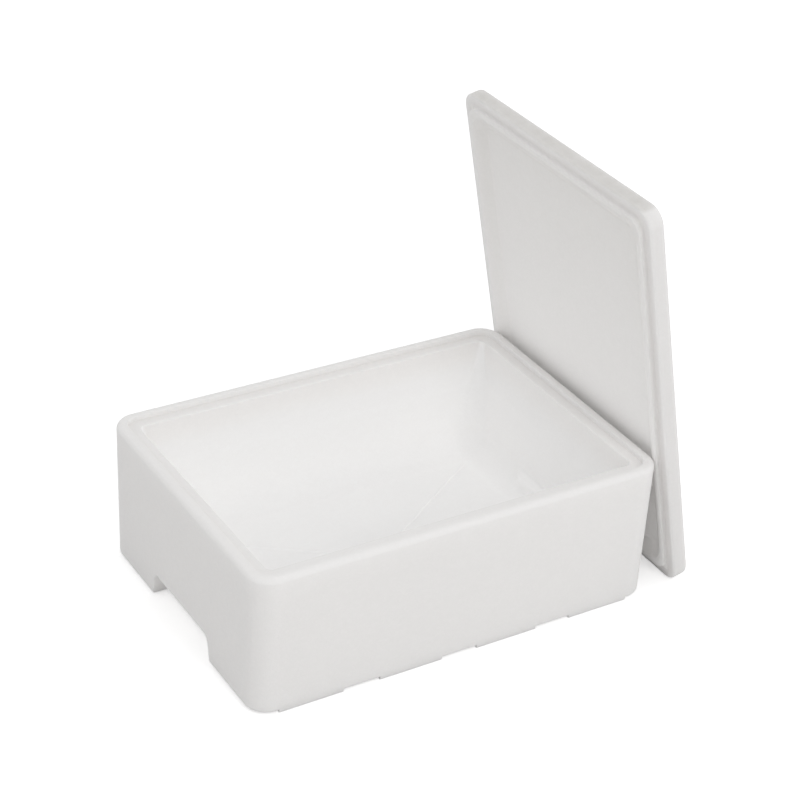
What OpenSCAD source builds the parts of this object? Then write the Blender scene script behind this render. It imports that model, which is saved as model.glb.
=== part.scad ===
// Moulded foam box for keeping food cold: an open tub and a lid with a ridge that seats inside its lip.
// The tub stands on the ground; the lid stands on its short edge beside it and leans on the rim.
// Millimetres, +Z up, +X along the tub. The origin is the middle of the tub's base, on the ground.

/* [Tub] */
// Outside length of the tub, along X
tub_length = 550; // [400:1:700]
// Outside width of the tub, along Y
tub_width = 390; // [300:1:500]
// Height of the tub, ground to rim
tub_height = 190; // [150:1:280]
// Radius of the tub's upright outside corners
tub_corner = 30; // [18:0.5:60]
// How far the outside walls lean in towards the base
outer_draft = 2; // [0:0.1:6]
// Radius of the rim's outer edge
rim_round = 7; // [1:0.1:12]
// Radius of the tub's bottom edge
base_round = 4; // [1:0.1:6]

/* [Rim and cavity] */
// Wall thickness at the mouth
wall = 28; // [20:0.5:45]
// Width of the rim's raised lip, from the outside
lip_width = 13.5; // [12.5:0.5:17]
// Drop from the lip to the inner ledge
lip_step = 6; // [4:0.1:8]
// How far the inside walls lean in towards the floor
cavity_draft = 4; // [0:0.1:12]
// Inside corner radius at the mouth
mouth_corner = 8; // [4:0.5:20]
// Inside radius of corners and floor edges at the bottom
cavity_round = 35; // [15:0.5:50]
// Height of the floor's border above the ground
floor_height = 28; // [20:0.5:50]
// How far the floor falls from its border to its middle
floor_fall = 8; // [1:0.1:12]

/* [Base bars] */
// Number of bars across the base
bar_count = 4; // [2:1:5]
// Spacing of the bars
bar_pitch = 133; // [60:1:140]
// Width of each bar, along X
bar_length = 84; // [20:1:100]
// Height of the bars
bar_height = 3; // [1:0.1:8]
// Width of the middle bar that joins them, along Y
spine_width = 84; // [20:1:140]

/* [Hand holds] */
// Half width of a hand hold at the ground
grip_half_width = 77; // [50:0.5:100]
// How far each side of a hand hold leans in towards its top
grip_flare = 7; // [0:0.5:20]
// Height of the hand hold's ceiling above the ground
grip_height = 37; // [25:0.5:60]
// Depth of a hand hold
grip_depth = 22; // [10:0.5:26]
// Radius of the hand hold's upper corners
grip_round = 11; // [2:0.5:20]

/* [Inner humps] */
// Half width of the hump inside each short wall
hump_half_width = 50; // [20:0.5:100]
// Height of the hump above the ground
hump_height = 54; // [50:0.5:80]
// How far the hump's foot stands out from the short wall
hump_reach = 14; // [4:0.5:40]
// Rounding of the hump's edges
hump_round = 8; // [2:0.5:14]

/* [Lid] */
// Thickness of the lid's rim plate
lid_thickness = 21; // [12:0.5:40]
// How far the lid's edge stays inside the tub's outline
lid_setback = 1; // [0:0.1:5]
// Radius of the lid's corners, seen from above
lid_corner = 22; // [16:0.5:60]
// Rounding of the lid's upper edge
lid_top_round = 5.5; // [1:0.1:8]
// Rounding of the lid's lower edge
lid_under_round = 3; // [1:0.1:5]

/* [Ridge] */
// Clearance between the lid's ridge and the tub's lip, all round
ridge_clearance = 1; // [0.2:0.1:4]
// Clearance between the ridge's crest and the tub's ledge
seat_clearance = 0.5; // [0:0.1:1]
// Rounding at the ridge's outer foot
ridge_foot_round = 3.2; // [0.5:0.1:6]
// Rounding of the crest's edges
crest_round = 2; // [0.5:0.1:2.8]
// Width of the ridge's flat crest with its rounded edges
crest_width = 8.5; // [6:0.5:20]
// Outside corner radius of the ridge
ridge_corner = 22; // [12:0.5:40]
// Width of the slope from the crest to the recessed panel
slope_width = 15.5; // [4:0.5:30]
// Depth of the recessed panel below the crest
recess_depth = 10; // [6:0.5:18]
// Corner radius of the recessed panel
recess_corner = 12; // [8:0.5:40]

/* [Standing lid] */
// Lean of the standing lid from upright, towards the tub
lid_lean = 11.8; // [5:0.1:20]
// Gap between the ridge's crest and the tub's rim where the lid leans
rim_gap = 0.3; // [0.1:0.1:1]

/* [Hidden] */
foam_white = [0.93, 0.93, 0.92];
overlap = 0.5;

ledge_height = tub_height - lip_step;
cavity_length = tub_length - 2 * wall;
cavity_width = tub_width - 2 * wall;
floor_length = cavity_length - 2 * cavity_draft - 2 * cavity_round;
floor_width = cavity_width - 2 * cavity_draft - 2 * cavity_round;
base_half_width = tub_width / 2 - outer_draft;
bars_reach = ((bar_count - 1) * bar_pitch + bar_length) / 2;

lid_length = tub_length - 2 * lid_setback;
lid_width = tub_width - 2 * lid_setback;
flange = lip_width + ridge_clearance - lid_setback;
ridge_height = lip_step - seat_clearance;
ridge_length = lid_length - 2 * flange;
ridge_width = lid_width - 2 * flange;
recess_mouth_length = ridge_length - 2 * crest_width;
recess_mouth_width = ridge_width - 2 * crest_width;
recess_mouth_corner = recess_corner + slope_width;
// The foot's fillet stays below the crest's rounding
foot_round = min(ridge_foot_round, ridge_height - crest_round - 0.1);

// How far the tub's corner falls back where the inner edges of the lid's crest lean on the rim
past_corner = max(0, recess_mouth_width / 2 - tub_width / 2 + tub_corner);
rim_fall = min(tub_corner - sqrt(pow(tub_corner, 2) - pow(past_corner, 2)), recess_depth);
// Centre of the rim's rounding there
rim_x = tub_length / 2 - rim_round - rim_fall;
rim_z = tub_height - rim_round;
// Place of the lid's underside at the ground, with its crest just clear of the rim
lid_foot_x = rim_x + ridge_height * cos(lid_lean)
    + (rim_round + rim_gap + (rim_z + ridge_height * sin(lid_lean)) * sin(lid_lean)) / cos(lid_lean);
// The rounded lower edge touches the ground below the corner of its two flats
lid_foot_z = -lid_under_round * (sin(lid_lean) + cos(lid_lean) - 1);

// Points of an arc about a centre, from one angle to another
function arc_points(centre, radius, from, to, steps = 6) =
    [for (i = [0:steps])
        let (turn = from + (to - from) * i / steps) centre + radius * [cos(turn), sin(turn)]];

// The same points on the other side of the middle, in reverse order
function mirrored(points) = [for (i = [len(points) - 1:-1:0]) [-points[i][0], points[i][1]]];

// Slab on a rounded rectangle whose edge follows [inset, height] points, from bottom to top
module moulded_slab(length, width, corner, edge) {
    bottom = edge[0][1];
    top = edge[len(edge) - 1][1];
    section = concat([[0, bottom]], [for (p = edge) [corner - p[0], p[1]]], [[0, top]]);
    side_x = length / 2 - corner;
    side_y = width / 2 - corner;
    for (turn = [0:3]) {
        odd = turn % 2;
        far_x = odd == 0 ? side_x : side_y;
        far_y = odd == 0 ? side_y : side_x;
        rotate([0, 0, 90 * turn]) {
            translate([far_x, far_y, 0]) rotate_extrude(angle = 90, $fn = 48) polygon(section);
            translate([far_x, far_y, 0]) rotate([90, 0, 0]) linear_extrude(2 * far_y) polygon(section);
        }
    }
    translate([-side_x, -side_y, bottom]) cube([2 * side_x, 2 * side_y, top - bottom]);
}

// Outer form of the tub, closed, with its lip and ledge
module tub_body() {
    edge = concat(
        arc_points([outer_draft + base_round, bar_height + base_round], base_round, 270, 180),
        arc_points([rim_round, rim_z], rim_round, 180, 90),
        [[lip_width, tub_height], [lip_width, ledge_height]]
    );
    moulded_slab(tub_length, tub_width, tub_corner, edge);
}

// Space inside the tub, above the floor's border
module cavity() {
    top_x = cavity_length / 2 - mouth_corner;
    top_y = cavity_width / 2 - mouth_corner;
    hull() {
        for (side = [-1, 1], end = [-1, 1]) {
            translate([end * top_x, side * top_y, ledge_height])
                cylinder(h = lip_step, r = mouth_corner, $fn = 32);
            translate([end * floor_length / 2, side * floor_width / 2, floor_height + cavity_round])
                sphere(r = cavity_round, $fn = 48);
        }
    }
}

// Shallow dish cut into the floor: four slopes that meet in the middle
module floor_dish() {
    half_x = floor_length / 2;
    half_y = floor_width / 2;
    low = floor_height - floor_fall;
    high = floor_height + overlap;
    polyhedron(
        points = [
            [-half_x, -half_y, floor_height], [half_x, -half_y, floor_height],
            [half_x, half_y, floor_height], [-half_x, half_y, floor_height],
            [-half_x, -half_y, high], [half_x, -half_y, high],
            [half_x, half_y, high], [-half_x, half_y, high],
            [0, 0, low]
        ],
        faces = [
            [0, 1, 8], [1, 2, 8], [2, 3, 8], [3, 0, 8],
            [0, 4, 5, 1], [1, 5, 6, 2], [2, 6, 7, 3], [3, 7, 4, 0], [7, 6, 5, 4]
        ]
    );
}

// Sloped hump on the inside of the short wall at +X
module hump() {
    wall_x = cavity_length / 2;
    foot_x = wall_x - cavity_draft - hump_reach + hump_round;
    low_z = floor_height - floor_fall;
    top_z = hump_height - hump_round;
    hull() {
        for (side = [-1, 1]) {
            translate([foot_x + hump_reach / 3, side * (hump_half_width - hump_round), top_z])
                sphere(r = hump_round, $fn = 32);
            translate([foot_x, side * (hump_half_width - hump_round), low_z])
                cylinder(h = overlap, r = hump_round, $fn = 32);
            translate([wall_x, side * hump_half_width, low_z]) cube([wall / 4, overlap, hump_height - low_z]);
        }
    }
}

// Outline of a hand hold on the short face, from below the ground to its ceiling
module grip_outline() {
    top_half = grip_half_width - grip_flare;
    lean = atan(grip_flare / grip_height);
    corner_y = top_half - grip_round * (1 - sin(lean)) / cos(lean);
    right = concat(
        [[grip_half_width + grip_flare / grip_height * overlap, -overlap]],
        arc_points([corner_y, grip_height - grip_round], grip_round, lean, 90)
    );
    polygon(concat(right, mirrored(right)));
}

// Hand hold cut into the short side at +X
module hand_hold() {
    translate([tub_length / 2 - grip_depth, 0, 0])
        rotate([90, 0, 90]) linear_extrude(grip_depth + overlap) grip_outline();
}

// Bars that carry the tub: one across the base at each step, and one along its middle
module base_bars() {
    rise = bar_height + base_round;
    bar_round = min(bar_height, base_round) * 0.8;
    foot = arc_points([base_half_width - bar_round, bar_round], bar_round, 270, 360);
    outline = concat(foot, [[base_half_width, rise], [-base_half_width, rise]], mirrored(foot));
    for (i = [0:bar_count - 1])
        translate([(i - (bar_count - 1) / 2) * bar_pitch - bar_length / 2, 0, 0])
            rotate([90, 0, 90]) linear_extrude(bar_length) polygon(outline);
    translate([-bars_reach, -spine_width / 2, 0]) cube([2 * bars_reach, spine_width, rise]);
}

module tub() {
    color(foam_white) difference() {
        union() {
            difference() {
                union() {
                    tub_body();
                    base_bars();
                }
                cavity();
                floor_dish();
            }
            for (end = [0, 1]) rotate([0, 0, 180 * end]) hump();
        }
        for (end = [0, 1]) rotate([0, 0, 180 * end]) hand_hold();
    }
}

// Lid lying as it sits on the tub: the rim plate's underside at height 0, the ridge below it
module closed_lid() {
    plate_edge = concat(
        arc_points([lid_under_round, lid_under_round], lid_under_round, 270, 180),
        arc_points([lid_top_round, lid_thickness - lid_top_round], lid_top_round, 180, 90)
    );
    ridge_edge = concat(
        arc_points([crest_round, crest_round - ridge_height], crest_round, 270, 180),
        arc_points([-foot_round, -foot_round], foot_round, 0, 90),
        [[-foot_round, overlap]]
    );
    recess_edge = [
        [-crest_round, -ridge_height - overlap],
        [0, -ridge_height],
        [slope_width, recess_depth - ridge_height]
    ];
    difference() {
        union() {
            moulded_slab(lid_length, lid_width, lid_corner, plate_edge);
            moulded_slab(ridge_length, ridge_width, ridge_corner, ridge_edge);
        }
        moulded_slab(recess_mouth_length, recess_mouth_width, recess_mouth_corner, recess_edge);
    }
}

// The lid standing on its short edge, leaning on the tub's rim at +X
module lid() {
    color(foam_white)
        translate([lid_foot_x, 0, lid_foot_z])
        rotate([0, -lid_lean, 0])
        translate([0, 0, lid_length / 2])
        rotate([0, 90, 0])
        closed_lid();
}

tub();
lid();
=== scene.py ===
"""Moulded foam box: the tub, its lid leaning on the rim, and a plain pale studio."""

import math

import bmesh
import bpy
from bpy.props import FloatProperty, FloatVectorProperty, IntProperty, PointerProperty
from mathutils import Matrix, Vector


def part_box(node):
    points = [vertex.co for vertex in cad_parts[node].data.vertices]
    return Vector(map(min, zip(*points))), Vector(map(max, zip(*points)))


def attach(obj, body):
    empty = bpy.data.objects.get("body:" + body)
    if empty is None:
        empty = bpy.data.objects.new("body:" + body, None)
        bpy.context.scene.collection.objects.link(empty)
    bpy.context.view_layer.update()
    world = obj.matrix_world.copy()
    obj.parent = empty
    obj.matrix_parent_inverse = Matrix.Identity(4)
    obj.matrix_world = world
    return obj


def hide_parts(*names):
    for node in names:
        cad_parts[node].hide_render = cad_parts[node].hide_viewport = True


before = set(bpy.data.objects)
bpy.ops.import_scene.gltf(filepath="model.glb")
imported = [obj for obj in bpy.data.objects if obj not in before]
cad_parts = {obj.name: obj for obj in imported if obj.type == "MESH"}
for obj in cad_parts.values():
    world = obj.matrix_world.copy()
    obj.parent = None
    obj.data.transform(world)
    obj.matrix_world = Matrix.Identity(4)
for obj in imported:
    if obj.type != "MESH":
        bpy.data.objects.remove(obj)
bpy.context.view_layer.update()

bl_info = {
    "name": "Foam Box",
    "version": (1, 0, 0),
    "blender": (4, 5, 0),
    "location": "View3D > Sidebar > Foam Box",
    "description": "Builds a moulded foam box with its lid and the studio it stands in",
    "category": "Object",
}

TUB_LOW, TUB_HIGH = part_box("tub")
BODY = "root"
# Hair's breadth that keeps two points of a step apart, in metres
HAIR = 0.00004
# Edges that bend more than this are rounded, in degrees
SHARP_BEND = 35
# Share of the inner width that is cut finely, for the humps
HUMP_SPAN = 0.55
# Width over which the hump's face blends into the wall, in metres
HUMP_BLEND = 0.003
# How far a cutting solid reaches past what it cuts, in metres
CUT_PAST = 0.01
# Shine of the foam's skin and of the floor, and roughness of the floor
SKIN_SHINE = 0.28
FLOOR_SHINE = 0.1
FLOOR_ROUGHNESS = 0.9
# Share of a bead that its seam takes up
SEAM_SHARE = 0.10
# Heights of the fine grain and of single beads, in metres
GRAIN_HEIGHT = 0.00002
BEAD_HEIGHT = 0.00003
# Difference in roughness between beads
ROUGH_SPREAD = 0.12
# Width of the soft border between two colours, in metres
COLOUR_BORDER = 0.002
# Texture scales of the fine grain, the uneven skin and the darker patches and painted shade on the lid, per
# metre
GRAIN_SCALE = 1400.0
SKIN_SCALE = 9.0
DARKENING_SCALE = 70.0
# Shift of the lid's beads, so that they differ from the tub's, in metres
LID_OFFSET = 3.7
# Where the painted shade on the lid's underside starts and is full, as shares of its length
UNDER_SHADE_SPAN = (0.36, 0.95)
# Where the darker tone on the face at the lid's upper end starts and is full, in metres below the end
END_DARKENING_SPAN = (0.0032, 0.0010)
# How patchy the painted shade on the underside and the darker tone on the end face are
UNDER_PATCHES = 0.15
END_PATCHES = 0.5


def length_property(name, description, default):
    """A size in metres, shown in the scene's own unit."""
    return FloatProperty(
        name=name,
        description=description,
        default=default,
        min=0.0,
        subtype="DISTANCE",
        unit="LENGTH",
        precision=4,
    )


def angle_property(name, description, degrees):
    """An angle, given here in degrees and kept in radians."""
    return FloatProperty(
        name=name,
        description=description,
        default=math.radians(degrees),
        subtype="ANGLE",
        unit="ROTATION",
    )


def colour_property(name, description, default):
    """A linear colour."""
    return FloatVectorProperty(
        name=name,
        description=description,
        default=default,
        size=3,
        subtype="COLOR",
        min=0.0,
        max=1.0,
    )


def share_property(name, description, default):
    """A plain factor."""
    return FloatProperty(name=name, description=description, default=default, min=0.0)


class FoamTubSizes(bpy.types.PropertyGroup):
    """Sizes of the tub."""

    length: length_property("Length", "Outside length, along X", TUB_HIGH.x - TUB_LOW.x)
    width: length_property("Width", "Outside width, along Y", TUB_HIGH.y - TUB_LOW.y)
    height: length_property("Height", "From the ground to the rim", TUB_HIGH.z)
    corner: length_property("Corner", "Radius of the upright outside corners", 0.030)
    draft: length_property("Draft", "How far the outside walls lean in at the base", 0.002)
    rim_round: length_property("Rim rounding", "Radius of the rim's outer edge", 0.007)
    base_round: length_property("Base rounding", "Radius of the bottom edge", 0.004)
    wall: length_property("Wall", "Wall thickness at the mouth", 0.028)
    lip_width: length_property("Lip width", "Width of the raised lip", 0.0135)
    lip_step: length_property("Lip step", "Drop from the lip to the ledge", 0.006)
    edge_round: length_property("Edge rounding", "Rounding of the moulded edges", 0.0014)
    cavity_draft: length_property("Cavity draft", "How far the inside walls lean in", 0.004)
    mouth_corner: length_property("Mouth corner", "Inside corner radius at the mouth", 0.008)
    cavity_round: length_property("Cavity rounding", "Inside radius at the bottom", 0.035)
    floor_height: length_property("Floor height", "Height of the floor's border", 0.028)
    floor_fall: length_property("Floor fall", "Fall of the floor to its middle", 0.008)
    seam_width: length_property("Seam width", "Width of the raised seams across the floor", 0.0024)
    seam_height: length_property("Seam height", "Height of the raised seams", 0.0010)
    bar_count: IntProperty(name="Bars", description="Bars across the base", default=4, min=1)
    bar_pitch: length_property("Bar pitch", "Spacing of the base bars", 0.133)
    bar_length: length_property("Bar length", "Width of each bar along X", 0.084)
    bar_height: length_property("Bar height", "Height of the bars", 0.003)
    bar_round: length_property("Bar rounding", "Rounding of the bars' edges", 0.0009)
    bar_end_round: length_property("Bar end rounding", "Rounding of the bars' ends", 0.0024)
    spine_width: length_property("Spine width", "Width of the middle bar", 0.084)
    grip_half_width: length_property("Grip half width", "Half width of a hand hold", 0.077)
    grip_flare: length_property("Grip flare", "Lean of a hand hold's sides", 0.007)
    grip_height: length_property("Grip height", "Ceiling of a hand hold", 0.037)
    grip_depth: length_property("Grip depth", "Depth of a hand hold", 0.022)
    grip_round: length_property("Grip rounding", "Radius of a hand hold's corners", 0.011)
    hump_half_width: length_property("Hump half width", "Half width of an inner hump", 0.050)
    hump_height: length_property("Hump height", "Top of an inner hump", 0.054)
    hump_reach: length_property("Hump reach", "How far a hump's foot stands out", 0.014)
    hump_crown: length_property("Hump crown", "How far a hump's top stands out", 0.009)
    hump_round: length_property("Hump rounding", "Width of a hump's sloped edges", 0.007)


class FoamLidSizes(bpy.types.PropertyGroup):
    """Sizes and place of the lid."""

    thickness: length_property("Thickness", "Thickness at the border", 0.021)
    setback: length_property("Setback", "How far the lid stays inside the tub's outline", 0.001)
    corner: length_property("Corner", "Radius of the corners", 0.022)
    top_round: length_property("Top rounding", "Rounding of the upper edge", 0.0055)
    under_round: length_property("Under rounding", "Rounding of the lower edge", 0.003)
    ridge_clearance: length_property("Ridge clearance", "Clearance inside the tub's lip", 0.001)
    seat_clearance: length_property("Seat clearance", "Clearance above the tub's ledge", 0.0005)
    ridge_corner: length_property("Ridge corner", "Outside corner radius of the ridge", 0.022)
    foot_round: length_property("Foot rounding", "Rounding at the ridge's foot", 0.0032)
    crest_round: length_property("Crest rounding", "Rounding of the crest's edges", 0.002)
    crest_width: length_property("Crest width", "Width of the crest", 0.0085)
    slope_width: length_property("Slope width", "Width of the slope to the panel", 0.0155)
    recess_depth: length_property("Recess depth", "Depth of the panel below the crest", 0.010)
    recess_corner: length_property("Recess corner", "Corner radius of the panel", 0.012)
    recess_round: length_property("Recess rounding", "Rounding at the slope's foot", 0.008)
    lean: angle_property("Lean", "Lean of the lid towards the tub", 11.8)
    rim_gap: length_property("Rim gap", "Gap between the crest and the rim", 0.0003)


class FoamLook(bpy.types.PropertyGroup):
    """Colour and beads of the foam."""

    tub_colour: colour_property("Tub colour", "Colour of the tub's outside", (0.862, 0.850, 0.840))
    lid_colour: colour_property("Lid colour", "Colour of the lid's outside", (0.765, 0.752, 0.743))
    # Painted light: the tub's inside has a lighter colour than its outside, standing in for light bounced
    # round the cavity
    inside_painted_light_colour: colour_property("Inside colour", "Colour of the tub's inside", (0.995, 0.990, 0.985))
    # Painted light: the lid's underside inside its border is lighter than its outside, standing in for
    # light bounced onto it from the tub
    under_painted_light_colour: colour_property("Under colour", "Colour of the lid's underside", (0.880, 0.869, 0.859))
    # Colour of the darker patches on the lid's upper end face and of the painted shade on its underside
    darkening_colour: colour_property("Darkening colour", "Colour of the lid's soiled end", (0.585, 0.57, 0.545))
    # Darker, warmer tone on the face at the lid's upper end
    end_darkening: share_property("End darkening", "Darker tone on the lid's upper end face", 0.58)
    # Painted shade: the lid's underside darkens towards its upper end, where less light reaches it
    under_painted_shade: share_property("Under painted shade", "Painted shade on the upper end of the lid's underside", 0.30)
    tub_translucence: share_property("Tub translucence", "Share of light that enters the tub's foam", 0.75)
    tub_light_depth: length_property("Tub light depth", "How far light travels in the tub's foam", 0.018)
    lid_translucence: share_property("Lid translucence", "Share of light that enters the lid's foam", 1.0)
    lid_light_depth: length_property("Lid light depth", "How far light travels in the lid's foam", 0.030)
    bead: length_property("Bead size", "Size of the foam's beads", 0.0042)
    seam_depth: length_property("Seam depth", "Depth of the seams between beads", 0.00008)
    tone_spread: share_property("Tone spread", "Difference in tone between beads", 0.013)
    roughness: share_property("Roughness", "Roughness of the moulded skin", 0.72)


class FoamStudio(bpy.types.PropertyGroup):
    """Floor, light and camera."""

    floor_colour: colour_property("Floor colour", "Colour of the floor", (0.81, 0.81, 0.81))
    floor_size: length_property("Floor size", "Side of the floor", 14.0)
    floor_lift: share_property("Floor lift", "Extra light of the floor towards the camera", 0.48)
    sky: share_property("Sky", "Strength of the light from all round", 0.745)
    key_power: share_property("Key power", "Power of the soft lamp above, in watts", 17.5)
    key_size: length_property("Key size", "Side of the soft lamp", 0.8)
    key_distance: length_property("Key distance", "Distance of the soft lamp", 3.2)
    key_azimuth: angle_property("Key azimuth", "Side the soft lamp stands on, 0 is in front", 5.0)
    key_elevation: angle_property("Key elevation", "Height of the soft lamp", 41.5)
    bounces: IntProperty(name="Bounces", description="Times light goes from wall to wall", default=9, min=1)
    camera_distance: length_property("Camera distance", "From the camera to its target", 3.129)
    camera_azimuth: angle_property("Camera azimuth", "Side the camera stands on", -32.43)
    camera_elevation: angle_property("Camera elevation", "Height of the camera", 30.90)
    camera_roll: angle_property("Camera roll", "Tilt of the camera's frame", 3.39)
    camera_lens: share_property("Camera lens", "Focal length in millimetres", 99.8)
    target_x: FloatProperty(name="Target X", description="Point looked at, on the floor", default=0.2360)
    target_y: FloatProperty(name="Target Y", description="Point looked at, on the floor", default=0.3430)


def arc(centre_inset, centre_height, radius, start, end, steps):
    """Points [inset, height] of an arc, from one angle in degrees to another."""
    points = []
    for i in range(steps + 1):
        turn = math.radians(start + (end - start) * i / steps)
        points.append((centre_inset + radius * math.cos(turn), centre_height + radius * math.sin(turn)))
    return points


def even_cuts(count):
    """Places from -1 to 1 along a side, evenly spaced."""
    return [-1 + 2 * i / count for i in range(count + 1)]


def ring(half_x, half_y, radius, height, cuts_x=(-1, 1), cuts_y=(-1, 1), corner_steps=12):
    """Points of a rounded rectangle at one height, counterclockwise from the +X side."""
    side_x = half_x - radius
    side_y = half_y - radius
    points = []
    for quarter in range(4):
        along = cuts_y if quarter % 2 == 0 else cuts_x
        reach = side_x if quarter % 2 == 0 else side_y
        run = side_y if quarter % 2 == 0 else side_x
        turn = Matrix.Rotation(math.radians(90 * quarter), 2)
        for cut in along:
            points.append(turn @ Vector((reach + radius, cut * run)))
        for i in range(1, corner_steps):
            angle = math.radians(90 * i / corner_steps)
            points.append(turn @ Vector((reach + radius * math.cos(angle), run + radius * math.sin(angle))))
    return [Vector((p.x, p.y, height)) for p in points]


def add_loft(shape, rings):
    """Joins rings with the same number of points by faces, and gives back their vertices."""
    rows = [[shape.verts.new(p) for p in points] for points in rings]
    count = len(rows[0])
    for low, high in zip(rows, rows[1:]):
        for i in range(count):
            j = (i + 1) % count
            shape.faces.new((low[i], low[j], high[j], high[i]))
    return rows


def finish_mesh(name, shape):
    """Closed mesh object from a finished bmesh."""
    bmesh.ops.remove_doubles(shape, verts=shape.verts, dist=1e-6)
    bmesh.ops.recalc_face_normals(shape, faces=shape.faces)
    mesh = bpy.data.meshes.new(name)
    shape.to_mesh(mesh)
    shape.free()
    thing = bpy.data.objects.new(name, mesh)
    bpy.context.scene.collection.objects.link(thing)
    return thing


def closed_loft(name, rings):
    """Closed mesh object through rings, capped at both ends."""
    shape = bmesh.new()
    rows = add_loft(shape, rings)
    shape.faces.new(list(reversed(rows[0])))
    shape.faces.new(rows[-1])
    return finish_mesh(name, shape)


def keep_result(thing):
    """Turns the object's modifiers into its mesh."""
    graph = bpy.context.evaluated_depsgraph_get()
    mesh = bpy.data.meshes.new_from_object(thing.evaluated_get(graph))
    thing.modifiers.clear()
    thing.data = mesh


def cut_away(thing, tool):
    """Takes the tool's solid out of the object and deletes the tool."""
    cutter = thing.modifiers.new("cut", "BOOLEAN")
    cutter.operation = "DIFFERENCE"
    cutter.solver = "EXACT"
    cutter.object = tool
    keep_result(thing)
    bpy.data.objects.remove(tool)


def soften_edges(thing, width, beyond):
    """Rounds the sharp edges outside a given |x| as a mould does."""
    shape = bmesh.new()
    shape.from_mesh(thing.data)
    weight = shape.edges.layers.float.new("bevel_weight_edge")
    for edge in shape.edges:
        middle = (edge.verts[0].co + edge.verts[1].co) / 2
        sharp = len(edge.link_faces) == 2 and edge.calc_face_angle() > math.radians(SHARP_BEND)
        edge[weight] = 1.0 if sharp and abs(middle.x) > beyond else 0.0
    shape.to_mesh(thing.data)
    shape.free()
    bevel = thing.modifiers.new("soft edges", "BEVEL")
    bevel.width = width
    bevel.segments = 3
    bevel.limit_method = "WEIGHT"
    bevel.use_clamp_overlap = True
    keep_result(thing)


def shade_smoothly(thing):
    """Smooth shading that keeps the large walls flat."""
    for face in thing.data.polygons:
        face.use_smooth = True
    normals = thing.modifiers.new("even normals", "WEIGHTED_NORMAL")
    normals.keep_sharp = True
    keep_result(thing)


def finish_piece(thing, node, material):
    """Gives a piece its material and lets it stand for a node of the frame."""
    shade_smoothly(thing)
    thing.data.materials.clear()
    thing.data.materials.append(material)
    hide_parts(node)
    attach(thing, BODY)


def stepped(tub, bars, limit):
    """Points [place, height] of the base along one direction, with a rounded step at each side of a bar."""
    fine = tub.bar_round
    points = [(-limit, tub.bar_height)]
    for low, high in bars:
        points.append((low - HAIR, tub.bar_height))
        for place, height in arc(low + fine, fine, fine, 180, 270, 3):
            points.append((place, height))
        for place, height in arc(high - fine, fine, fine, 270, 360, 3):
            points.append((place, height))
        points.append((high + HAIR, tub.bar_height))
    points.append((limit, tub.bar_height))
    return points


def bar_share(tub, points, place):
    """1 where a bar stands on the ground, 0 in the gaps, from the stepped points."""
    for (start, first), (end, second) in zip(points, points[1:]):
        if start <= place <= end:
            height = first + (second - first) * (place - start) / (end - start)
            return 1 - height / tub.bar_height
    return 0.0


def tub_outside(tub):
    """Outer form of the tub with a flat ledge and the bars under its base."""
    side_x = tub.length / 2 - tub.corner
    side_y = tub.width / 2 - tub.corner
    first = -(tub.bar_count - 1) / 2 * tub.bar_pitch
    middles = [first + i * tub.bar_pitch for i in range(tub.bar_count)]
    across = stepped(tub, [(m - tub.bar_length / 2, m + tub.bar_length / 2) for m in middles], side_x)
    along = stepped(tub, [(-tub.spine_width / 2, tub.spine_width / 2)], side_y)
    cuts_x = [place / side_x for place, _ in across]
    cuts_y = even_cuts(8)
    corner_steps = 18

    def level(inset, height):
        half_x = tub.length / 2 - inset
        half_y = tub.width / 2 - inset
        return ring(half_x, half_y, tub.corner - inset, height, cuts_x, cuts_y, corner_steps)

    def foot(radius, base, angle):
        turn = math.radians(angle)
        return level(tub.draft + radius * (1 + math.cos(turn)), base + radius * (1 + math.sin(turn)))

    rows = []
    for angle in (270, 252, 234, 216, 198, 180):
        row = []
        for gap, bar in zip(foot(tub.base_round, tub.bar_height, angle), foot(tub.bar_end_round, 0, angle)):
            share = bar_share(tub, across, gap.x) if abs(gap.y) > side_y + HAIR else 0.0
            row.append(gap.lerp(bar, share))
        rows.append(row)
    fine = tub.edge_round
    ledge = tub.height - tub.lip_step
    edge = arc(tub.rim_round, tub.height - tub.rim_round, tub.rim_round, 180, 90, 9)
    edge += arc(tub.lip_width - fine, tub.height - fine, fine, 90, 0, 4)
    edge += arc(tub.lip_width + fine, ledge + fine, fine, 180, 270, 4)
    rows += [level(inset, height) for inset, height in edge]

    shape = bmesh.new()
    rows = add_loft(shape, rows)
    shape.faces.new(rows[-1])
    side = len(cuts_x)
    quarter_y = len(cuts_y) + corner_steps - 1
    quarter_x = side + corner_steps - 1
    back = list(reversed(rows[0][quarter_y : quarter_y + side]))
    front_start = 2 * quarter_y + quarter_x
    front = rows[0][front_start : front_start + side]
    last_bar = middles[-1]
    columns = []
    for (x, height), near, far in zip(across, front, back):
        column = [near]
        for y, spine_height in along:
            z = height if abs(x) > last_bar else min(height, spine_height)
            column.append(shape.verts.new((x, y, z)))
        columns.append(column + [far])
    for left, right in zip(columns, columns[1:]):
        for i in range(len(left) - 1):
            shape.faces.new((left[i], left[i + 1], right[i + 1], right[i]))
    right_end = rows[0][front_start + side - 1 :] + rows[0][: quarter_y + 1]
    left_end = rows[0][quarter_y + side - 1 : front_start + 1]
    shape.faces.new(right_end + list(reversed(columns[-1][1:-1])))
    shape.faces.new(left_end + columns[0][1:-1])
    return finish_mesh("foam_tub", shape)


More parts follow.
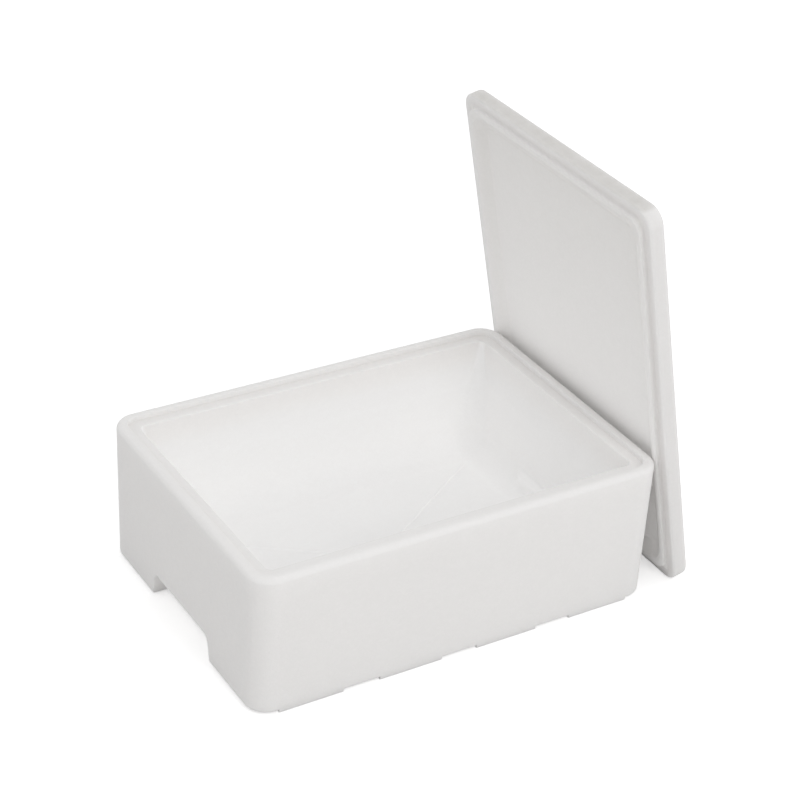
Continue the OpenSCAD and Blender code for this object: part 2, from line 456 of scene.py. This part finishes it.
def grip_tool(tub, end):
    """Solid of a hand hold at one end, 1 for +X and -1 for -X."""
    lean = math.atan(tub.grip_flare / tub.grip_height)
    top = tub.grip_half_width - tub.grip_flare
    centre = top - tub.grip_round * (1 - math.sin(lean)) / math.cos(lean)
    foot = tub.grip_half_width + tub.grip_flare / tub.grip_height * CUT_PAST
    outline = [(foot, -CUT_PAST)]
    outline += arc(centre, tub.grip_height - tub.grip_round, tub.grip_round, math.degrees(lean), 90, 8)
    outline += [(-y, z) for y, z in reversed(outline)]
    inner = tub.length / 2 - tub.grip_depth
    outer = tub.length / 2 + CUT_PAST
    rows = [[Vector((end * x, y, z)) for y, z in outline] for x in (inner, outer)]
    return closed_loft("hand hold", rows)


def smooth_step(value):
    """0 below 0, 1 above 1, and a smooth rise between."""
    value = min(max(value, 0.0), 1.0)
    return value * value * (3 - 2 * value)


def soft_least(first, second, blend):
    """The smaller of two numbers, blended where they are close."""
    share = min(max(0.5 + 0.5 * (second - first) / blend, 0.0), 1.0)
    return second * (1 - share) + first * share - blend * share * (1 - share)


def raise_hump(point, tub):
    """Moves a point of an inner short wall out to the hump's face, where the hump covers it."""
    wall = tub.length / 2 - tub.wall - tub.cavity_draft
    side = smooth_step((tub.hump_half_width - abs(point.y)) / tub.hump_round)
    top = smooth_step((tub.hump_height - point.z) / tub.hump_round)
    rise = (tub.hump_height - point.z) / (tub.hump_height - tub.floor_height)
    reach = tub.hump_crown + (tub.hump_reach - tub.hump_crown) * min(max(rise, 0.0), 1.0)
    if side == 0 or top == 0 or abs(point.x) < wall - tub.cavity_round:
        return point
    face = wall - reach
    moved = soft_least(abs(point.x), face, HUMP_BLEND)
    share = side * top
    x = abs(point.x) * (1 - share) + moved * share
    return Vector((math.copysign(x, point.x), point.y, point.z))


def cavity_tool(tub):
    """Solid of the space inside the tub, from above the ledge down to the dished floor.

    Its cuts along Y are closest where the humps stand.
    """
    ledge = tub.height - tub.lip_step
    mouth_x = tub.length / 2 - tub.wall
    mouth_y = tub.width / 2 - tub.wall
    fine = tub.edge_round
    floor_x = mouth_x - tub.cavity_draft - tub.cavity_round
    floor_y = mouth_y - tub.cavity_draft - tub.cavity_round
    centre = tub.floor_height + tub.cavity_round
    beside_hump = [0.62, 0.7, 0.8, 0.9, 1]
    cuts_y = [-cut for cut in reversed(beside_hump)]
    cuts_y += [HUMP_SPAN * cut for cut in even_cuts(56)]
    cuts_y += beside_hump
    cuts_x = even_cuts(20)
    rows = []

    def add(half_x, half_y, radius, height):
        rows.append(ring(half_x, half_y, radius, height, cuts_x, cuts_y, 12))

    add(mouth_x + fine, mouth_y + fine, tub.mouth_corner + fine, ledge + CUT_PAST)
    for inset, height in arc(-fine, ledge - fine, fine, 90, 0, 4):
        add(mouth_x - inset, mouth_y - inset, tub.mouth_corner - inset, height)
    levels = 14
    for i in range(1, levels + 1):
        share = i / levels
        inset = share * tub.cavity_draft
        radius = tub.mouth_corner + share * (tub.cavity_round - tub.mouth_corner)
        add(mouth_x - inset, mouth_y - inset, radius, ledge - fine + share * (centre - ledge + fine))
    bends = 22
    seam = tub.seam_width
    for i in range(1, bends + 1):
        angle = math.radians(90 * i / bends)
        reach = tub.cavity_round * math.cos(angle)
        height = centre - tub.cavity_round * math.sin(angle)
        add(floor_x + reach, floor_y + reach, max(reach, seam), height)
    rounds = 14
    for i in range(1, rounds):
        share = 1 - i / rounds
        fall = tub.floor_fall * (1 - share)
        add(floor_x * share, floor_y * share, seam, tub.floor_height - fall)
        for point in rows[-1]:
            beside = abs(abs(point.x) / floor_x - abs(point.y) / floor_y) * floor_y / seam
            point.z += tub.seam_height * smooth_step(1 - beside)
    rows = [[raise_hump(p, tub) for p in row] for row in rows]
    return closed_loft("cavity", rows)


def lid_flange(tub, lid):
    """Width of the lid's flat border, outside its ridge."""
    return tub.lip_width + lid.ridge_clearance - lid.setback


def ridge_height(tub, lid):
    """How far the ridge stands out of the border, to seat inside the tub's lip."""
    return tub.lip_step - lid.seat_clearance


def lid_form(tub, lid):
    """The lid as it lies on the tub, with its border's underside at height 0."""
    length = tub.length - 2 * lid.setback
    width = tub.width - 2 * lid.setback
    flange = lid_flange(tub, lid)
    fine = lid.crest_round
    foot = lid.foot_round
    crest = -ridge_height(tub, lid)
    panel = lid.recess_depth + crest
    mouth = flange + lid.crest_width
    slope_angle = math.degrees(math.atan2(lid.recess_depth, lid.slope_width))
    rows = []

    def add(inset, height, radius):
        half_x = length / 2 - inset
        half_y = width / 2 - inset
        rows.append(ring(half_x, half_y, radius, height, even_cuts(12), even_cuts(8), 16))

    for inset, height in arc(lid.top_round, lid.thickness - lid.top_round, lid.top_round, 90, 180, 8):
        add(inset, height, lid.corner - inset)
    for inset, height in arc(lid.under_round, lid.under_round, lid.under_round, 180, 270, 6):
        add(inset, height, lid.corner - inset)
    for inset, height in arc(flange - foot, -foot, foot, 90, 0, 5):
        add(inset, height, lid.ridge_corner + flange - inset)
    for inset, height in arc(flange + fine, crest + fine, fine, 180, 270, 4):
        add(inset, height, lid.ridge_corner + flange - inset)
    mouth_corner = lid.recess_corner + lid.slope_width
    for inset, height in arc(mouth - fine, crest + fine, fine, 270, 270 + slope_angle, 4):
        add(inset, height, mouth_corner + mouth - inset)
    round_run = lid.recess_round * math.tan(math.radians(slope_angle / 2))
    centre = mouth + lid.slope_width + round_run
    for inset, height in arc(centre, panel - lid.recess_round, lid.recess_round, 90 + slope_angle, 90, 4):
        add(inset, height, mouth_corner + mouth - inset)
    return closed_loft("foam_lid", rows)


def lid_place(tub, lid):
    """Puts the lying lid on its short edge, leaning on the rim at +X."""
    ridge = ridge_height(tub, lid)
    touch_y = tub.width / 2 - lid.setback - lid_flange(tub, lid) - lid.crest_width
    past_corner = max(0, touch_y - tub.width / 2 + tub.corner)
    fall = tub.corner - math.sqrt(tub.corner**2 - past_corner**2)
    rim_x = tub.length / 2 - tub.rim_round - min(fall, lid.recess_depth)
    rim_z = tub.height - tub.rim_round
    lean_sin = math.sin(lid.lean)
    lean_cos = math.cos(lid.lean)
    reach = tub.rim_round + lid.rim_gap + (rim_z + ridge * lean_sin) * lean_sin
    foot_x = rim_x + ridge * lean_cos + reach / lean_cos
    foot_z = -lid.under_round * (lean_sin + lean_cos - 1)
    raised = Matrix.Translation((0, 0, tub.length / 2 - lid.setback))
    standing = raised @ Matrix.Rotation(math.radians(90), 4, "Y")
    return Matrix.Translation((foot_x, 0, foot_z)) @ Matrix.Rotation(-lid.lean, 4, "Y") @ standing


def link_nodes(tree, pairs):
    """Joins sockets two by two."""
    for source, target in pairs:
        tree.links.new(source, target)


def math_node(tree, operation, first, second, clamp=False):
    """Math node whose inputs are sockets or plain numbers."""
    node = tree.nodes.new("ShaderNodeMath")
    node.operation = operation
    node.use_clamp = clamp
    for socket, value in zip(node.inputs, (first, second)):
        if isinstance(value, (int, float)):
            socket.default_value = value
        else:
            tree.links.new(value, socket)
    return node.outputs[0]


def bead_group():
    """Shared effect: packed beads with fine seams, a slight tone of their own and an uneven skin."""
    name = "Foam Beads"
    if name in bpy.data.node_groups:
        return bpy.data.node_groups[name]
    tree = bpy.data.node_groups.new(name, "ShaderNodeTree")
    sockets = tree.interface
    for label in ("Bead Size", "Seam Depth", "Tone Spread", "Offset"):
        sockets.new_socket(label, in_out="INPUT", socket_type="NodeSocketFloat")
    for label in ("Tone", "Height", "Roughness"):
        sockets.new_socket(label, in_out="OUTPUT", socket_type="NodeSocketFloat")
    given = tree.nodes.new("NodeGroupInput").outputs
    result = tree.nodes.new("NodeGroupOutput").inputs
    place = tree.nodes.new("ShaderNodeTexCoord").outputs["Object"]
    shift = tree.nodes.new("ShaderNodeVectorMath")
    shift.operation = "ADD"
    link_nodes(tree, [(place, shift.inputs[0]), (given["Offset"], shift.inputs[1])])
    place = shift.outputs[0]
    per_metre = math_node(tree, "DIVIDE", 1.0, given["Bead Size"])

    seams = tree.nodes.new("ShaderNodeTexVoronoi")
    seams.feature = "DISTANCE_TO_EDGE"
    cells = tree.nodes.new("ShaderNodeTexVoronoi")
    cells.feature = "F1"
    skin = tree.nodes.new("ShaderNodeTexNoise")
    skin.inputs["Detail"].default_value = 3.0
    skin.inputs["Scale"].default_value = SKIN_SCALE
    for texture in (seams, cells):
        link_nodes(tree, [(place, texture.inputs["Vector"]), (per_metre, texture.inputs["Scale"])])
    link_nodes(tree, [(place, skin.inputs["Vector"])])
    grain = tree.nodes.new("ShaderNodeTexNoise")
    grain.inputs["Scale"].default_value = GRAIN_SCALE
    grain.inputs["Detail"].default_value = 2.0
    link_nodes(tree, [(place, grain.inputs["Vector"])])

    seam = math_node(tree, "DIVIDE", seams.outputs["Distance"], SEAM_SHARE, clamp=True)
    tint = tree.nodes.new("ShaderNodeSeparateColor")
    link_nodes(tree, [(cells.outputs["Color"], tint.inputs["Color"])])
    own = math_node(tree, "SUBTRACT", tint.outputs["Red"], 0.5)
    own = math_node(tree, "MULTIPLY", own, given["Tone Spread"])
    cloud = math_node(tree, "SUBTRACT", skin.outputs["Fac"], 0.5)
    cloud = math_node(tree, "MULTIPLY", cloud, given["Tone Spread"])
    gap = math_node(tree, "SUBTRACT", 1.0, seam)
    gap = math_node(tree, "MULTIPLY", gap, given["Tone Spread"])
    tone = math_node(tree, "ADD", 1.0, own)
    tone = math_node(tree, "ADD", tone, cloud)
    tone = math_node(tree, "SUBTRACT", tone, gap)

    crown = math_node(tree, "POWER", seam, 0.5)
    height = math_node(tree, "MULTIPLY", crown, given["Seam Depth"])
    fine = math_node(tree, "MULTIPLY", grain.outputs["Fac"], GRAIN_HEIGHT)
    height = math_node(tree, "ADD", height, fine)
    lift = math_node(tree, "MULTIPLY", tint.outputs["Green"], BEAD_HEIGHT)
    height = math_node(tree, "ADD", height, lift)
    rough = math_node(tree, "SUBTRACT", tint.outputs["Blue"], 0.5)
    rough = math_node(tree, "MULTIPLY", rough, ROUGH_SPREAD)
    rough = math_node(tree, "ADD", rough, math_node(tree, "MULTIPLY", gap, 2.0))
    link_nodes(tree, [(tone, result["Tone"]), (height, result["Height"]), (rough, result["Roughness"])])
    return tree


def inside_group():
    """Shared effect: 1 in a box-shaped space with soft sides, 0 outside it."""
    name = "Foam Inside"
    if name in bpy.data.node_groups:
        return bpy.data.node_groups[name]
    tree = bpy.data.node_groups.new(name, "ShaderNodeTree")
    sockets = tree.interface
    for label in ("Middle", "Turn", "Half Size"):
        sockets.new_socket(label, in_out="INPUT", socket_type="NodeSocketVector")
    sockets.new_socket("Softness", in_out="INPUT", socket_type="NodeSocketFloat")
    sockets.new_socket("Inside", in_out="OUTPUT", socket_type="NodeSocketFloat")
    given = tree.nodes.new("NodeGroupInput").outputs
    result = tree.nodes.new("NodeGroupOutput").inputs
    place = tree.nodes.new("ShaderNodeTexCoord").outputs["Object"]
    local = tree.nodes.new("ShaderNodeVectorMath")
    local.operation = "SUBTRACT"
    turned = tree.nodes.new("ShaderNodeVectorRotate")
    turned.rotation_type = "EULER_XYZ"
    away = tree.nodes.new("ShaderNodeVectorMath")
    away.operation = "ABSOLUTE"
    room = tree.nodes.new("ShaderNodeVectorMath")
    room.operation = "SUBTRACT"
    parts = tree.nodes.new("ShaderNodeSeparateXYZ")
    link_nodes(
        tree,
        [
            (place, local.inputs[0]),
            (given["Middle"], local.inputs[1]),
            (local.outputs[0], turned.inputs["Vector"]),
            (given["Turn"], turned.inputs["Rotation"]),
            (turned.outputs[0], away.inputs[0]),
            (given["Half Size"], room.inputs[0]),
            (away.outputs[0], room.inputs[1]),
            (room.outputs[0], parts.inputs[0]),
        ],
    )
    least = math_node(tree, "MINIMUM", parts.outputs[0], parts.outputs[1])
    least = math_node(tree, "MINIMUM", least, parts.outputs[2])
    share = math_node(tree, "DIVIDE", least, given["Softness"], clamp=True)
    link_nodes(tree, [(share, result["Inside"])])
    return tree


def mix_colours(tree, share, first, second):
    """Colour node between two colours, which are sockets or plain colours."""
    node = tree.nodes.new("ShaderNodeMix")
    node.data_type = "RGBA"
    tree.links.new(share, node.inputs["Factor"])
    for socket, colour in ((node.inputs["A"], first), (node.inputs["B"], second)):
        if isinstance(colour, bpy.types.NodeSocket):
            tree.links.new(colour, socket)
        else:
            socket.default_value = (*colour, 1)
    return node.outputs["Result"]


def let_light_through(material, share, depth):
    """Lets a share of the light into the foam, to a given depth."""
    shader = material.node_tree.nodes["Principled BSDF"]
    shader.inputs["Subsurface Weight"].default_value = share
    shader.inputs["Subsurface Radius"].default_value = (1, 1, 1)
    shader.inputs["Subsurface Scale"].default_value = depth


def patchy_rise_mask(tree, axis, start, full, patches):
    """Patchy mask that rises from start to full along an axis."""
    place = tree.nodes.new("ShaderNodeTexCoord").outputs["Object"]
    along = tree.nodes.new("ShaderNodeVectorMath")
    along.operation = "DOT_PRODUCT"
    along.inputs[1].default_value = axis
    cloud = tree.nodes.new("ShaderNodeTexNoise")
    cloud.inputs["Scale"].default_value = DARKENING_SCALE
    cloud.inputs["Detail"].default_value = 5.0
    link_nodes(tree, [(place, along.inputs[0]), (place, cloud.inputs["Vector"])])
    rise = math_node(tree, "SUBTRACT", along.outputs["Value"], start)
    rise = math_node(tree, "DIVIDE", rise, full - start, clamp=True)
    uneven = math_node(tree, "SUBTRACT", cloud.outputs["Fac"], 0.5)
    uneven = math_node(tree, "MULTIPLY", uneven, 2 * patches)
    return math_node(tree, "MULTIPLY", rise, math_node(tree, "ADD", uneven, 1.0))


def darken_lid_upper_end(material, look, lid_up, low, high):
    """Darkens the face at the lid's upper end with a patchy warmer tone, and paints shade on its underside,
    darker towards that end.
    """
    tree = material.node_tree
    scale = tree.nodes["colour"]
    base_with_painted_light = scale.inputs[0].links[0].from_socket
    inside = tree.nodes["inside"].outputs["Inside"]
    # Painted shade: the underside inside the border grows darker towards the upper end, where less light
    # reaches it
    start, full = (low + share * (high - low) for share in UNDER_SHADE_SPAN)
    under = patchy_rise_mask(tree, lid_up, start, full, UNDER_PATCHES)
    under = math_node(tree, "MULTIPLY", under, math_node(tree, "MULTIPLY", inside, look.under_painted_shade))
    # The face at the upper end turns darker and warmer in patches
    start, full = (high - below for below in END_DARKENING_SPAN)
    end = patchy_rise_mask(tree, lid_up, start, full, END_PATCHES)
    end = math_node(tree, "MULTIPLY", end, look.end_darkening)
    darkened = mix_colours(tree, under, base_with_painted_light, look.darkening_colour)
    darkened = mix_colours(tree, end, darkened, look.darkening_colour)
    link_nodes(tree, [(darkened, scale.inputs[0])])


def foam_material(name, look, offset, colours, painted_light_box):
    """White moulded foam of fused beads.

    The first colour is the outside's. The second is a lighter colour of painted light; it shows in the
    painted light box, given by its middle, turn and half size.
    """
    material = bpy.data.materials.new(name)
    material.use_nodes = True
    tree = material.node_tree
    shader = tree.nodes["Principled BSDF"]
    shader.inputs["Specular IOR Level"].default_value = SKIN_SHINE
    beads = tree.nodes.new("ShaderNodeGroup")
    beads.node_tree = bead_group()
    beads.inputs["Bead Size"].default_value = look.bead
    beads.inputs["Seam Depth"].default_value = look.seam_depth
    beads.inputs["Tone Spread"].default_value = look.tone_spread
    beads.inputs["Offset"].default_value = offset
    inside = tree.nodes.new("ShaderNodeGroup")
    inside.name = "inside"
    inside.node_tree = inside_group()
    for label, value in zip(("Middle", "Turn", "Half Size"), painted_light_box):
        inside.inputs[label].default_value = value
    inside.inputs["Softness"].default_value = COLOUR_BORDER
    # Painted light: the second colour, lighter than the first, fills the box
    base_with_painted_light = mix_colours(tree, inside.outputs["Inside"], *colours)
    colour = tree.nodes.new("ShaderNodeVectorMath")
    colour.name = "colour"
    colour.operation = "SCALE"
    rough = math_node(tree, "ADD", beads.outputs["Roughness"], look.roughness, clamp=True)
    bump = tree.nodes.new("ShaderNodeBump")
    bump.inputs["Distance"].default_value = 1.0
    bump.inputs["Strength"].default_value = 1.0
    link_nodes(
        tree,
        [
            (base_with_painted_light, colour.inputs[0]),
            (beads.outputs["Tone"], colour.inputs["Scale"]),
            (colour.outputs[0], shader.inputs["Base Color"]),
            (rough, shader.inputs["Roughness"]),
            (beads.outputs["Height"], bump.inputs["Height"]),
            (bump.outputs["Normal"], shader.inputs["Normal"]),
        ],
    )
    return material


def seen_directly(tree):
    """1 for what the camera sees, also in a shine or through glass, and 0 for light on other things."""
    rays = tree.nodes.new("ShaderNodeLightPath").outputs
    either = math_node(tree, "MAXIMUM", rays["Is Camera Ray"], rays["Is Glossy Ray"])
    return math_node(tree, "MAXIMUM", either, rays["Is Transmission Ray"])


def floor_material(studio):
    """Pale floor that shows white to the camera and still darkens under the box."""
    material = bpy.data.materials.new("studio_floor")
    material.use_nodes = True
    tree = material.node_tree
    shader = tree.nodes["Principled BSDF"]
    shader.inputs["Base Color"].default_value = (*studio.floor_colour, 1)
    shader.inputs["Roughness"].default_value = FLOOR_ROUGHNESS
    shader.inputs["Specular IOR Level"].default_value = FLOOR_SHINE
    lift = tree.nodes.new("ShaderNodeEmission")
    strength = math_node(tree, "MULTIPLY", seen_directly(tree), studio.floor_lift)
    both = tree.nodes.new("ShaderNodeAddShader")
    link_nodes(
        tree,
        [
            (strength, lift.inputs["Strength"]),
            (shader.outputs[0], both.inputs[0]),
            (lift.outputs[0], both.inputs[1]),
            (both.outputs[0], tree.nodes["Material Output"].inputs["Surface"]),
        ],
    )
    return material


def make_world(studio):
    """Even pale light from all round, seen as plain white."""
    world = bpy.data.worlds.new("studio")
    bpy.context.scene.world = world
    world.use_nodes = True
    tree = world.node_tree
    background = tree.nodes["Background"]
    background.inputs["Color"].default_value = (1, 1, 1, 1)
    extra = math_node(tree, "MULTIPLY", seen_directly(tree), 1.0 - studio.sky)
    strength = math_node(tree, "ADD", extra, studio.sky)
    link_nodes(tree, [(strength, background.inputs["Strength"])])


def direction(azimuth, elevation):
    """Unit vector towards a place seen from the origin; azimuth 0 is in front, at -Y."""
    flat = math.cos(elevation)
    return Vector((math.sin(azimuth) * flat, -math.cos(azimuth) * flat, math.sin(elevation)))


def make_lamp(studio):
    """Soft lamp in front of the box and above it."""
    data = bpy.data.lights.new("key_lamp", "AREA")
    data.energy = studio.key_power
    data.size = studio.key_size
    lamp = bpy.data.objects.new("key_lamp", data)
    bpy.context.scene.collection.objects.link(lamp)
    towards = direction(studio.key_azimuth, studio.key_elevation)
    middle = Vector((0, 0, TUB_HIGH.z / 2))
    lamp.location = middle + towards * studio.key_distance
    lamp.rotation_euler = towards.to_track_quat("Z", "Y").to_euler()


def make_camera(studio):
    """Camera at the photograph's angle."""
    data = bpy.data.cameras.new("camera")
    data.lens = studio.camera_lens
    data.sensor_width = 36
    data.clip_end = 100
    camera = bpy.data.objects.new("camera", data)
    bpy.context.scene.collection.objects.link(camera)
    back = direction(studio.camera_azimuth, studio.camera_elevation)
    right = Vector((0, 0, 1)).cross(back).normalized()
    up = back.cross(right)
    frame_turn = Matrix((right, up, back)).transposed() @ Matrix.Rotation(studio.camera_roll, 3, "Z")
    target = Vector((studio.target_x, studio.target_y, 0))
    place = Matrix.Translation(target + back * studio.camera_distance)
    camera.matrix_world = place @ frame_turn.to_4x4()
    bpy.context.scene.camera = camera


class FOAM_OT_tub(bpy.types.Operator):
    """Build the tub: rim, cavity, floor, humps, hand holds and base bars"""

    bl_idname = "foam.tub"
    bl_label = "Build Tub"

    def execute(self, context):
        tub = context.scene.foam_tub
        thing = tub_outside(tub)
        for end in (-1, 1):
            cut_away(thing, grip_tool(tub, end))
        soften_edges(thing, tub.edge_round, tub.length / 2 - tub.grip_depth - tub.edge_round)
        cut_away(thing, cavity_tool(tub))
        low = tub.floor_height - 2 * tub.floor_fall
        ledge = tub.height - tub.lip_step
        half_size = (tub.length / 2 - tub.wall, tub.width / 2 - tub.wall, (ledge - low) / 2)
        look = context.scene.foam_look
        middle = (0, 0, (ledge + low) / 2)
        # Painted light: the cavity below the ledge takes the lighter inside colour, standing in for light
        # bounced round it
        colours = (look.tub_colour, look.inside_painted_light_colour)
        foam = foam_material("tub_foam", look, 0.0, colours, (middle, (0, 0, 0), half_size))
        let_light_through(foam, look.tub_translucence, look.tub_light_depth)
        finish_piece(thing, "tub", foam)
        return {"FINISHED"}


class FOAM_OT_lid(bpy.types.Operator):
    """Build the lid and stand it against the tub's rim"""

    bl_idname = "foam.lid"
    bl_label = "Build Lid"

    def execute(self, context):
        tub = context.scene.foam_tub
        lid = context.scene.foam_lid
        thing = lid_form(tub, lid)
        place = lid_place(tub, lid)
        thing.data.transform(place)
        border = lid.setback + lid_flange(tub, lid)
        half_size = (tub.length / 2 - border, tub.width / 2 - border, lid.recess_depth)
        look = context.scene.foam_look
        middle = place.to_translation()
        turn = place.inverted().to_euler()
        # Painted light: the underside inside the border takes the lighter under colour, standing in for
        # light bounced onto it from the tub
        colours = (look.lid_colour, look.under_painted_light_colour)
        foam = foam_material("lid_foam", look, LID_OFFSET, colours, (middle, turn, half_size))
        lid_up = place.to_3x3() @ Vector((-1, 0, 0))
        reach = tub.length / 2 - lid.setback
        # Paints shade on the underside towards the upper end and darkens the end face
        darken_lid_upper_end(foam, look, lid_up, middle.dot(lid_up) - reach, middle.dot(lid_up) + reach)
        let_light_through(foam, look.lid_translucence, look.lid_light_depth)
        finish_piece(thing, "lid", foam)
        return {"FINISHED"}


class FOAM_OT_studio(bpy.types.Operator):
    """Build the floor, the light and the camera"""

    bl_idname = "foam.studio"
    bl_label = "Build Studio"

    def execute(self, context):
        studio = context.scene.foam_studio
        half = studio.floor_size / 2
        mesh = bpy.data.meshes.new("studio_floor")
        corners = [(-half, -half, 0), (half, -half, 0), (half, half, 0), (-half, half, 0)]
        mesh.from_pydata(corners, [], [(0, 1, 2, 3)])
        mesh.materials.append(floor_material(studio))
        floor = bpy.data.objects.new("studio_floor", mesh)
        context.scene.collection.objects.link(floor)
        make_world(studio)
        make_lamp(studio)
        make_camera(studio)
        context.scene.cycles.diffuse_bounces = studio.bounces
        context.scene.cycles.max_bounces = studio.bounces + 4
        context.scene.view_settings.view_transform = "Standard"
        return {"FINISHED"}


class FOAM_PT_panel(bpy.types.Panel):
    """Foam box tools"""

    bl_label = "Foam Box"
    bl_space_type = "VIEW_3D"
    bl_region_type = "UI"
    bl_category = "Foam Box"

    def draw(self, context):
        for group, operator in (
            (context.scene.foam_tub, FOAM_OT_tub),
            (context.scene.foam_lid, FOAM_OT_lid),
            (context.scene.foam_look, None),
            (context.scene.foam_studio, FOAM_OT_studio),
        ):
            box = self.layout.box()
            for name in group.__annotations__:
                box.prop(group, name)
            if operator:
                box.operator(operator.bl_idname)


CLASSES = (
    FoamTubSizes,
    FoamLidSizes,
    FoamLook,
    FoamStudio,
    FOAM_OT_tub,
    FOAM_OT_lid,
    FOAM_OT_studio,
    FOAM_PT_panel,
)


def register():
    for cls in CLASSES:
        bpy.utils.register_class(cls)
    bpy.types.Scene.foam_tub = PointerProperty(type=FoamTubSizes)
    bpy.types.Scene.foam_lid = PointerProperty(type=FoamLidSizes)
    bpy.types.Scene.foam_look = PointerProperty(type=FoamLook)
    bpy.types.Scene.foam_studio = PointerProperty(type=FoamStudio)


def unregister():
    for name in ("foam_tub", "foam_lid", "foam_look", "foam_studio"):
        delattr(bpy.types.Scene, name)
    for cls in reversed(CLASSES):
        bpy.utils.unregister_class(cls)


def main():
    register()
    bpy.ops.foam.tub()
    bpy.ops.foam.lid()
    bpy.ops.foam.studio()


if __name__ == "__main__":
    main()
